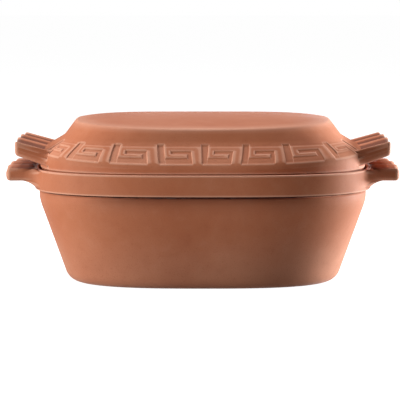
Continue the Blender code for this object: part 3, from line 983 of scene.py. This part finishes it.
def close_shell(draft, rows, count, gone):
    """The shell's faces, without those that the lugs take the place of, and its two poles."""
    grid = [[row * count + column for column in range(count)] for row in range(rows)]
    for row in range(rows - 1):
        for column in range(count):
            if (row, column) in gone:
                continue
            after = (column + 1) % count
            upper, lower = grid[row], grid[row + 1]
            draft.faces.append((upper[column], upper[after], lower[after], lower[column]))
    for row, order in ((grid[0], 1), (grid[-1], -1)):
        middle = np.mean([draft.points[index] for index in row], axis=0)
        pole = draft.add([middle])[0]
        for column in range(count):
            ends = (row[column], row[(column + 1) % count])[::order]
            draft.faces.append((pole, ends[1], ends[0]))
    return grid


def build_piece(name, rings, turns, cells, lug, patch, places, clay):
    """A closed shell with a lug at each end, as one mesh with its attributes."""
    shell = lofted_shell(name, rings, turns, clay)
    rows, count, _ = shell.shape
    bands = [ring.band for ring in rings]
    half_turn = count // 2
    gone = {
        (row, (column + shift) % count)
        for row, column in patch_faces(patch)
        for shift in (0, half_turn)
    }
    draft = MeshDraft(shell.reshape(-1, 3), np.tile(cells, rows), np.repeat(bands, count))
    grid = close_shell(draft, rows, count, gone)
    for shift, side in ((0, 1.0), (half_turn, -1.0)):
        grow_lug(draft, grid, lug, shell, bands, patch, places, shift, side)
    mesh = bpy.data.meshes.new(name)
    mesh.from_pydata(draft.points, [], draft.faces)
    named = {"key_cell": draft.cells, "band": draft.bands, "fluting": draft.fluting}
    for field, values in named.items():
        store(mesh, field, values)
    work = bmesh.new()
    work.from_mesh(mesh)
    loose = [vertex for vertex in work.verts if not vertex.link_faces]
    bmesh.ops.delete(work, geom=loose, context="VERTS")
    bmesh.ops.recalc_face_normals(work, faces=work.faces)
    work.to_mesh(mesh)
    work.free()
    mesh.shade_smooth()
    piece = bpy.data.objects.new(name, mesh)
    bpy.context.scene.collection.objects.link(piece)
    mesh.materials.append(clay)
    return piece


def ring_turns(ends, between):
    """All turns of a shell from those of its right-hand end and of the long side that follows."""
    half = np.concatenate((ends, between))
    return np.concatenate((half, half + math.pi))


def spaced(first, last, spacing):
    """Evenly spaced places between first and last, without the two themselves."""
    count = max(int(round((last - first) / spacing)), 1)
    return [first + (last - first) * index / count for index in range(1, count)]


def mark_edges(piece, hollow_share=1.0):
    """Stores how sharply the surface turns outwards and inwards.

    Edges get wear and a painted highlight from it, and hollows get painted shade.
    """
    mesh = piece.data
    points = read(mesh.vertices, "co", 3)
    normals = read(mesh.vertex_normals, "vector", 3)
    start, end = read(mesh.edges, "vertices", 2, np.int32).T
    along = points[end] - points[start]
    length = np.maximum(np.einsum("ij,ij->i", along, along), LEAST_SQUARE)
    turn = np.einsum("ij,ij->i", normals[end] - normals[start], along) / length
    marks = (("edge", turn, 1.0), ("hollow", -turn - SOFT_HOLLOW, hollow_share))
    for name, values, share in marks:
        sharpest = np.zeros(len(points))
        np.maximum.at(sharpest, start, values)
        np.maximum.at(sharpest, end, values)
        store(mesh, name, np.clip(sharpest / SHARP * share, 0.0, 1.0))
    return points


def mark_shade(dish, points, sizes):
    """Stores painted shade close under the dish's collar and under the lid's lugs.

    The edge marks just under the collar are mostly taken away.
    """
    foot = sizes.rim_height - sizes.collar_height
    outside = np.hypot(points[:, 0] / sizes.rim_length, points[:, 1] / sizes.rim_width) * 2
    down = foot - points[:, 2]
    # Painted shade on the outside, fading downwards from the collar's foot
    shade = np.where((down > 0) & (outside > OUTER_SHARE), np.exp(-down / SHADE_FALL), 0.0)
    # The painted shade is strongest along the middle of the long sides, where the left lamp grazes
    # the body
    aside = np.abs(points[:, 1]) / (sizes.rim_width / 2 - COLLAR_REACH - FLARE_SIDE * down / foot)
    facing = np.clip((aside - SHADE_SIDE[0]) / (SHADE_SIDE[1] - SHADE_SIDE[0]), 0.0, 1.0)
    # Painted shade on the dish's lugs beside the rim, under the lid's lugs
    under_lid = np.exp(-(((np.abs(points[:, 0]) - UNDER_LID[0]) / UNDER_LID[1]) ** 2))
    under_lid *= (points[:, 2] > UNDER_LID[2]) & (np.abs(points[:, 1]) < sizes.lug_width / 2)
    # A thin painted dark line right under the collar, all round
    line = np.where(shade > 0, np.exp(-down / LINE_FALL) * LINE_SHARE, 0.0)
    edge = dish.data.attributes["edge"].data
    values = read(edge, "value", 1).ravel()
    values[(down > COVERED[0]) & (down < COVERED[1])] *= COVERED_EDGE_SHARE
    edge.foreach_set("value", values)
    store(dish.data, "shade", np.maximum(np.maximum(shade * facing, line), under_lid))


def number(name, description, default, unit="LENGTH"):
    return FloatProperty(name=name, description=description, default=default, unit=unit)


def clay_tone(name, description, *default):
    return FloatVectorProperty(
        name=name, description=description, default=(*default, 1.0), size=4, subtype="COLOR"
    )


class DishSizes(bpy.types.PropertyGroup):
    """Sizes of the dish."""

    rim_length: number("Rim Length", "Length over the rim", 0.3026)
    rim_width: number("Rim Width", "Width over the rim", 0.2339)
    rim_height: number("Rim Height", "Height of the rim", 0.1030)
    collar_height: number("Collar Height", "Height of the collar", 0.0185)
    wall: number("Wall", "Thickness of the wall", 0.0090)
    floor: number("Floor", "Thickness of the floor", 0.0090)
    lug_reach: number("Lug Reach", "How far a lug stands out", 0.0245)
    lug_width: number("Lug Width", "Width of a lug", 0.1100)
    flute_depth: number("Flute Depth", "Depth of a lug's flutes", 0.0034)


class LidSizes(bpy.types.PropertyGroup):
    """Sizes of the lid."""

    crown_rise: number("Crown Rise", "Top above the dish's rim", 0.0465)
    wall: number("Wall", "Thickness of the wall", 0.0080)
    lug_tip: number("Lug Tip", "Reach of a lug from the middle", 0.1664)
    lug_width: number("Lug Width", "Width of a lug", 0.1200)
    flute_depth: number("Flute Depth", "Depth of a lug's flutes", 0.0038)
    key_depth: number("Key Depth", "Depth of the Greek key", 0.0010)
    key_wall: number("Key Wall", "Half the width of its walls", 0.0005)
    key_figures: IntProperty(
        name="Key Figures", description="Figures on each long side", default=8
    )


class ClayLook(bpy.types.PropertyGroup):
    """Colours of the fired clay, and of the painted light and painted shade laid over it."""

    clay: clay_tone("Clay", "Main colour of the fired clay", 0.490, 0.150, 0.066)
    # Also the colour of edge wear and of painted light: on edges, in the key's channels, on the
    # band, on the flutes' crests and near the foot
    pale_clay: clay_tone("Pale Clay", "Colour of paler patches and edges", 0.580, 0.230, 0.130)
    # Also the colour of the painted shade in hollows
    deep_clay: clay_tone("Deep Clay", "Colour of hollows and redder patches", 0.390, 0.105, 0.046)
    # The colour of painted shade, in hollows, in the flutes' valleys and under the collar and lid's
    # lugs
    groove_clay: clay_tone("Painted Shade Clay", "Colour deep in the grooves", 0.070, 0.012, 0.005)
    # Also the colour of painted highlights on edges, in the key's channels and along the crown's
    # edge
    worn_clay: clay_tone("Wear and Highlight Clay", "Colour of the sharpest edges", 0.760, 0.400, 0.280)
    roughness: FloatProperty(
        name="Roughness", description="Roughness of the clay", default=0.68, min=0.0, max=1.0
    )


class StudioLook(bpy.types.PropertyGroup):
    """Lamps and floor."""

    key_power: number("Key Power", "Lamp at the left", 47.0, "POWER")
    top_power: number("Top Power", "Lamp overhead", 36.0, "POWER")
    rim_power: number("Rim Power", "Lamp at the right", 76.0, "POWER")
    ambient: number("Ambient", "Strength of the room's even light", 0.06, "NONE")


def noise(tree, coordinates, scale, detail, roughness):
    values = {"Vector": coordinates, "Scale": scale, "Detail": detail, "Roughness": roughness}
    return Field(tree, add_node(tree, "ShaderNodeTexNoise", values).outputs["Fac"])


def mix_colours(tree, share, first, second):
    values = {MIX_SHARE: share, MIX_FIRST: first, MIX_SECOND: second}
    return add_node(tree, "ShaderNodeMix", values, data_type="RGBA").outputs[MIX_RESULT]


def stored(tree, name):
    """A number that is stored for each point of the piece."""
    node = add_node(tree, "ShaderNodeAttribute", attribute_name=name)
    return Field(tree, node.outputs["Fac"])


def terracotta(look):
    """Unglazed fired clay, mottled and grainy.

    Its edges are paler from wear and from a painted highlight. It has a painted highlight along
    the crown's edge and on the flutes' crests, painted light in the key's channels, on the band
    and near the foot, and painted shade in its hollows, in the flutes' valleys and under the
    collar and the lid's lugs.
    """
    material = bpy.data.materials.get("terracotta_clay")
    if material:
        return material
    material = bpy.data.materials.new("terracotta_clay")
    material.use_nodes = True
    tree = material.node_tree
    place = tree.nodes.new("ShaderNodeTexCoord").outputs["Object"]
    clouds, patches, grain, specks = (
        noise(tree, place, *shape) for shape in (CLOUDS, PATCHES, GRAIN, SPECKS)
    )
    edge, hollow, fluting, channel, shade, band = (
        stored(tree, name) for name in ("edge", "hollow", "fluting", "channel", "shade", "band")
    )
    # Crest lines of the flutes get a painted highlight
    crest = (fluting * -1.0).at_least(0.0)
    # Valleys of the flutes get painted shade
    valley = fluting.at_least(0.0).eased(*PAINTED_FLUTE_SHADE)
    # Painted light on the lid's sloping band
    on_band = band.eased(*BAND_STARTS) * band.eased(*BAND_ENDS)
    # Painted highlight along the crown's edge
    crown_highlight = band.eased(*CROWN_EDGE_STARTS) * band.eased(*CROWN_EDGE_ENDS)
    # Painted bounce light from the floor, paler towards the foot
    axes = add_node(tree, "ShaderNodeSeparateXYZ", {"Vector": place})
    foot = Field(tree, axes.outputs["Z"]).eased(*PAINTED_FOOT_LIGHT)
    # Paler: random clouds and patches, edges from wear and a painted highlight, and painted light
    # in the key's channels, near the foot, on the flutes' crests and on the band
    pale = clouds.eased(*PALE_CLOUDS) + patches.eased(*PALE_PATCHES)
    pale = pale + edge * patches.eased(*PALE_EDGES) + channel * channel * PAINTED_CHANNEL_LIGHT + foot
    pale = (pale + crest + on_band * PAINTED_BAND_LIGHT).at_most(1.0)
    # Deeper: random clouds, patches and grain, and painted shade in hollows
    deep = clouds.eased(*DEEP_CLOUDS) + patches.eased(*DEEP_PATCHES)
    deep = (deep + hollow * PAINTED_HOLLOW_SHADE_DEEP + grain.eased(*DEEP_GRAIN)).at_most(1.0)
    # Edge wear with a painted highlight, and painted highlights in the key's channels and the
    # crown's edge
    wear_and_highlight = edge.eased(*EDGE_WEAR_AND_HIGHLIGHT) + channel.eased(*PAINTED_CHANNEL_HIGHLIGHT) + crown_highlight * PAINTED_CROWN_HIGHLIGHT
    # Painted shade in hollows, in the flutes' valleys, and under the collar and the lid's lugs
    dark = hollow * PAINTED_HOLLOW_SHADE_DARK + valley + shade * PAINTED_SHADE_UNDER
    layers = (
        (pale, look.pale_clay),
        (deep, look.deep_clay),
        (specks.eased(*PALE_SPECKS), look.pale_clay),
        (wear_and_highlight.at_most(MOST_WEAR_AND_HIGHLIGHT), look.worn_clay),
        (dark.at_most(MOST_PAINTED_SHADE), look.groove_clay),
    )
    tone = look.clay
    for share, over in layers:
        tone = mix_colours(tree, share, tone, over)
    least, most = look.roughness - ROUGHNESS_SPAN, look.roughness + ROUGHNESS_SPAN
    bumps = {
        "Strength": RELIEF_STRENGTH,
        "Distance": RELIEF_DISTANCE,
        "Height": grain * RELIEF_GRAIN + specks * RELIEF_SPECKS + patches * RELIEF_PATCHES,
    }
    finish = {
        "Base Color": tone,
        "Roughness": grain.eased(*ROUGH_GRAIN, least, most),
        "Specular IOR Level": SPECULAR,
        "Sheen Weight": SHEEN,
        "Sheen Roughness": SHEEN_ROUGHNESS,
        "Normal": add_node(tree, "ShaderNodeBump", bumps).outputs["Normal"],
    }
    feed_all(tree, tree.nodes["Principled BSDF"], finish)
    return material


def dish_lug(dish):
    return Lug(
        tip=dish.rim_length / 2 + dish.lug_reach,
        half_width=dish.lug_width / 2,
        bow=0.0022,
        arch=0.0006,
        top=dish.rim_height + DISH_LUG_RISE,
        tilt=0.0,
        thickness=0.0112,
        taper=0.0,
        flute=dish.flute_depth,
        tip_round=0.0034,
        top_run=0.0040,
        side_run=0.0125,
        under_run=0.0125,
        web=0.65,
        soil=0.45,
    )


def lid_lug(dish, lid):
    return Lug(
        tip=lid.lug_tip,
        half_width=lid.lug_width / 2,
        bow=0.0010,
        arch=0.0010,
        top=dish.rim_height + LID_LUG_RISE,
        tilt=0.275,
        thickness=0.0126,
        taper=0.08,
        flute=lid.flute_depth,
        tip_round=0.0024,
        top_run=0.0016,
        side_run=0.0080,
        under_run=0.0030,
        web=0.0,
        soil=1.0,
    )


class ROASTER_OT_dish(bpy.types.Operator):
    """Builds the dish with its collar, rebate and fluted lugs"""

    bl_idname = "roaster.dish"
    bl_label = "Dish"

    def execute(self, context):
        sizes = context.scene.roaster_dish
        clay = terracotta(context.scene.roaster_clay)
        rings, top_row, low_row = dish_rings(sizes)
        lug = dish_lug(sizes)
        rim = rim_ring(sizes)
        flutes = flute_places()
        places = lug_columns(lug, DISH_LUG_SPREAD, flutes)
        patch = Patch(top_row, top_row, low_row, len(places) - 1, 0)
        ends = np.array([oval_turn(rim, y) for y in places])
        turns, distances = side_distances(rim)
        last = np.interp(ends[0], turns, distances)
        sides = np.interp(spaced(-last, last, SIDE_SPACING), distances, turns) + math.pi
        around = ring_turns(ends, sides)
        cells = np.full(len(around), NO_KEY)
        dish = build_piece("dish_body", rings, around, cells, lug, patch, flutes, clay)
        mark_shade(dish, mark_edges(dish), sizes)
        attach(dish, "dish")
        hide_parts("dish")
        return {"FINISHED"}


def cell_distance(cell):
    """Distance along the band at which the key has reached this many figures."""
    last = len(KEY_STARTS) - 1
    if cell < 0:
        return KEY_STARTS[0] + cell * (KEY_STARTS[1] - KEY_STARTS[0])
    if cell > last:
        return KEY_STARTS[-1] + (cell - last) * (KEY_STARTS[-1] - KEY_STARTS[-2])
    return float(np.interp(cell, range(last + 1), KEY_STARTS))


def distance_cell(distance):
    """How many figures the key has reached at this distance along the band."""
    last = len(KEY_STARTS) - 1
    if distance < KEY_STARTS[0]:
        return (distance - KEY_STARTS[0]) / (KEY_STARTS[1] - KEY_STARTS[0])
    if distance > KEY_STARTS[-1]:
        return last + (distance - KEY_STARTS[-1]) / (KEY_STARTS[-1] - KEY_STARTS[-2])
    return float(np.interp(distance, KEY_STARTS, range(last + 1)))


def end_marks(figures, half, turns, distances, band_foot):
    """Places along Y at which the walls of the outermost uprights run into a lug."""
    marks = []
    for edge in (0.0, KEY_EDGES[1], figures, figures + KEY_CLOSING):
        for part in KEY_WALL_PARTS:
            distance = cell_distance(edge + half * part)
            turn = np.interp(distance, distances, turns)
            y = band_foot.side_reach * abs(math.sin(turn)) ** (2 / band_foot.power)
            marks.append(math.copysign(y, -distance))
    return marks


def side_columns(figures, half, last):
    """Distances along a long side, between -last and last, of the lines of points across it."""
    edges = [(index, edge) for index in range(figures) for edge in KEY_EDGES]
    edges += [(figures, edge) for edge in KEY_EDGES[:2]]
    cells = [index + edge + half * part for index, edge in edges for part in KEY_WALL_PARTS]
    cells += [index + share for index in range(figures) for share in KEY_BETWEEN]
    cells.append(figures + KEY_BETWEEN[0])
    wanted = [cell_distance(cell) for cell in sorted(cells)]
    before = spaced(-last, wanted[0], END_SPACING)
    wanted = before + wanted + spaced(wanted[-1], last, END_SPACING)
    return [distance for distance in wanted if -last < distance < last]


class ROASTER_OT_lid(bpy.types.Operator):
    """Builds the lid with its crown, Greek key band and tilted fluted lugs"""

    bl_idname = "roaster.lid"
    bl_label = "Lid"

    def execute(self, context):
        dish = context.scene.roaster_dish
        sizes = context.scene.roaster_lid
        clay = terracotta(context.scene.roaster_clay)
        rings, top_row, step_row, low_row = lid_rings(dish, sizes)
        lug = lid_lug(dish, sizes)
        _, crease, band_foot, _, _ = lid_corner_rings(dish, sizes)
        turns, distances = side_distances(mixed(crease, band_foot, 0.5))
        figures = sizes.key_figures
        half = sizes.key_wall / KEY_PITCH
        marks = end_marks(figures, half, turns, distances, band_foot)
        flutes = flute_places([y / lug.half_width for y in marks])
        places = lug_columns(lug, LID_LUG_SPREAD, flutes)
        patch = Patch(top_row, step_row, low_row, len(places) - 1, LID_LUG_STEP)
        ends = np.array([oval_turn(band_foot, y) for y in places])
        wanted = side_columns(figures, half, float(np.interp(ends[0], turns, distances)))
        sides = np.interp(wanted, distances, turns) + math.pi
        end_distances = np.interp(np.where(ends < 0, ends, ends - math.pi), turns, distances)
        half_cells = [distance_cell(distance) for distance in (*end_distances, *wanted)]
        around = ring_turns(ends, sides)
        cells = np.tile(half_cells, 2)
        lid = build_piece("lid_shell", rings, around, cells, lug, patch, flutes, clay)
        key = {
            "Depth": sizes.key_depth,
            "Wall": sizes.key_wall,
            "Pitch": KEY_PITCH,
            "Breadth": BAND_BREADTH,
            "Figures": float(figures),
            "Figure Share": FIGURE_SHARE,
            "Strip Share": STRIP_SHARE,
        }
        run_tree(lid, key_tree(), {"Clay": clay, **key})
        mark_edges(lid, LID_HOLLOW_SHARE)
        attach(lid, "lid")
        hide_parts("lid")
        return {"FINISHED"}


def add_lamp(name, place, size, power, colour):
    data = bpy.data.lights.new(name, "AREA")
    data.shape = "RECTANGLE"
    data.size, data.size_y = size
    data.energy = power
    data.color = colour
    lamp = bpy.data.objects.new(name, data)
    lamp.location = place
    aim = Vector(LAMP_AIM) - Vector(place)
    lamp.rotation_euler = aim.to_track_quat("-Z", "Y").to_euler()
    bpy.context.scene.collection.objects.link(lamp)


def floor_material():
    """A pale floor that is white to the camera and still takes the shadow."""
    material = bpy.data.materials.new("studio_floor")
    material.use_nodes = True
    tree = material.node_tree
    tree.nodes.clear()
    tone = (FLOOR_TONE, FLOOR_TONE, FLOOR_TONE, 1.0)
    diffuse = add_node(tree, "ShaderNodeBsdfDiffuse", {"Color": tone})
    path = tree.nodes.new("ShaderNodeLightPath")
    seen = Field(tree, path.outputs["Is Camera Ray"])
    for ray in ("Is Glossy Ray", "Is Transmission Ray"):
        seen = seen.at_least(Field(tree, path.outputs[ray]))
    glow = add_node(tree, "ShaderNodeEmission", {"Strength": seen * FLOOR_GLOW})
    both = {0: diffuse.outputs["BSDF"], 1: glow.outputs["Emission"]}
    surface = add_node(tree, "ShaderNodeAddShader", both).outputs["Shader"]
    add_node(tree, "ShaderNodeOutputMaterial", {"Surface": surface})
    return material


def studio_world(ambient):
    world = bpy.data.worlds.new("studio_world")
    world.use_nodes = True
    tree = world.node_tree
    shader = tree.nodes["Background"]
    shader.inputs["Color"].default_value = (1.0, 1.0, 1.0, 1.0)
    path = tree.nodes.new("ShaderNodeLightPath")
    seen = Field(tree, path.outputs["Is Camera Ray"])
    feed(tree, shader.inputs["Strength"], seen * (1.0 - ambient) + ambient)
    bpy.context.scene.world = world


class ROASTER_OT_stage(bpy.types.Operator):
    """Builds the floor, the lamps and the camera"""

    bl_idname = "roaster.stage"
    bl_label = "Stage"

    def execute(self, context):
        look = context.scene.roaster_studio
        mesh = bpy.data.meshes.new("studio_floor")
        corners = [(x * FLOOR_HALF, y * FLOOR_HALF, 0.0) for x, y in FLOOR_CORNERS]
        mesh.from_pydata(corners, [], [range(4)])
        mesh.materials.append(floor_material())
        floor = bpy.data.objects.new("studio_floor", mesh)
        context.scene.collection.objects.link(floor)
        for name, (place, size, colour) in LAMPS.items():
            add_lamp(f"{name}_lamp", place, size, getattr(look, f"{name}_power"), colour)
        studio_world(look.ambient)
        data = bpy.data.cameras.new("studio_camera")
        data.lens = CAMERA_LENS
        data.sensor_width = CAMERA_SENSOR
        data.clip_end = CAMERA_FAR
        camera = bpy.data.objects.new("studio_camera", data)
        camera.location = CAMERA_PLACE
        camera.rotation_euler = (math.pi / 2 - CAMERA_DOWN, 0.0, 0.0)
        context.scene.collection.objects.link(camera)
        context.scene.camera = camera
        context.scene.view_settings.view_transform = "Standard"
        return {"FINISHED"}


class ROASTER_PT_panel(bpy.types.Panel):
    """Lists the sizes and the parts of the roaster"""

    bl_label = "Clay Roaster"
    bl_idname = "ROASTER_PT_panel"
    bl_space_type = "VIEW_3D"
    bl_region_type = "UI"
    bl_category = "Clay Roaster"

    def draw(self, context):
        scene = context.scene
        for group, operators in (
            (scene.roaster_dish, ("roaster.dish",)),
            (scene.roaster_lid, ("roaster.lid",)),
            (scene.roaster_clay, ()),
            (scene.roaster_studio, ("roaster.stage",)),
        ):
            column = self.layout.column()
            for name in group.__annotations__:
                column.prop(group, name)
            for operator in operators:
                column.operator(operator)


CLASSES = (
    DishSizes,
    LidSizes,
    ClayLook,
    StudioLook,
    ROASTER_OT_dish,
    ROASTER_OT_lid,
    ROASTER_OT_stage,
    ROASTER_PT_panel,
)


def register():
    for item in CLASSES:
        bpy.utils.register_class(item)
    bpy.types.Scene.roaster_dish = PointerProperty(type=DishSizes)
    bpy.types.Scene.roaster_lid = PointerProperty(type=LidSizes)
    bpy.types.Scene.roaster_clay = PointerProperty(type=ClayLook)
    bpy.types.Scene.roaster_studio = PointerProperty(type=StudioLook)


def unregister():
    for name in ("roaster_dish", "roaster_lid", "roaster_clay", "roaster_studio"):
        delattr(bpy.types.Scene, name)
    for item in reversed(CLASSES):
        bpy.utils.unregister_class(item)


def main():
    register()
    bpy.ops.roaster.stage()
    bpy.ops.roaster.dish()
    bpy.ops.roaster.lid()


if __name__ == "__main__":
    main()
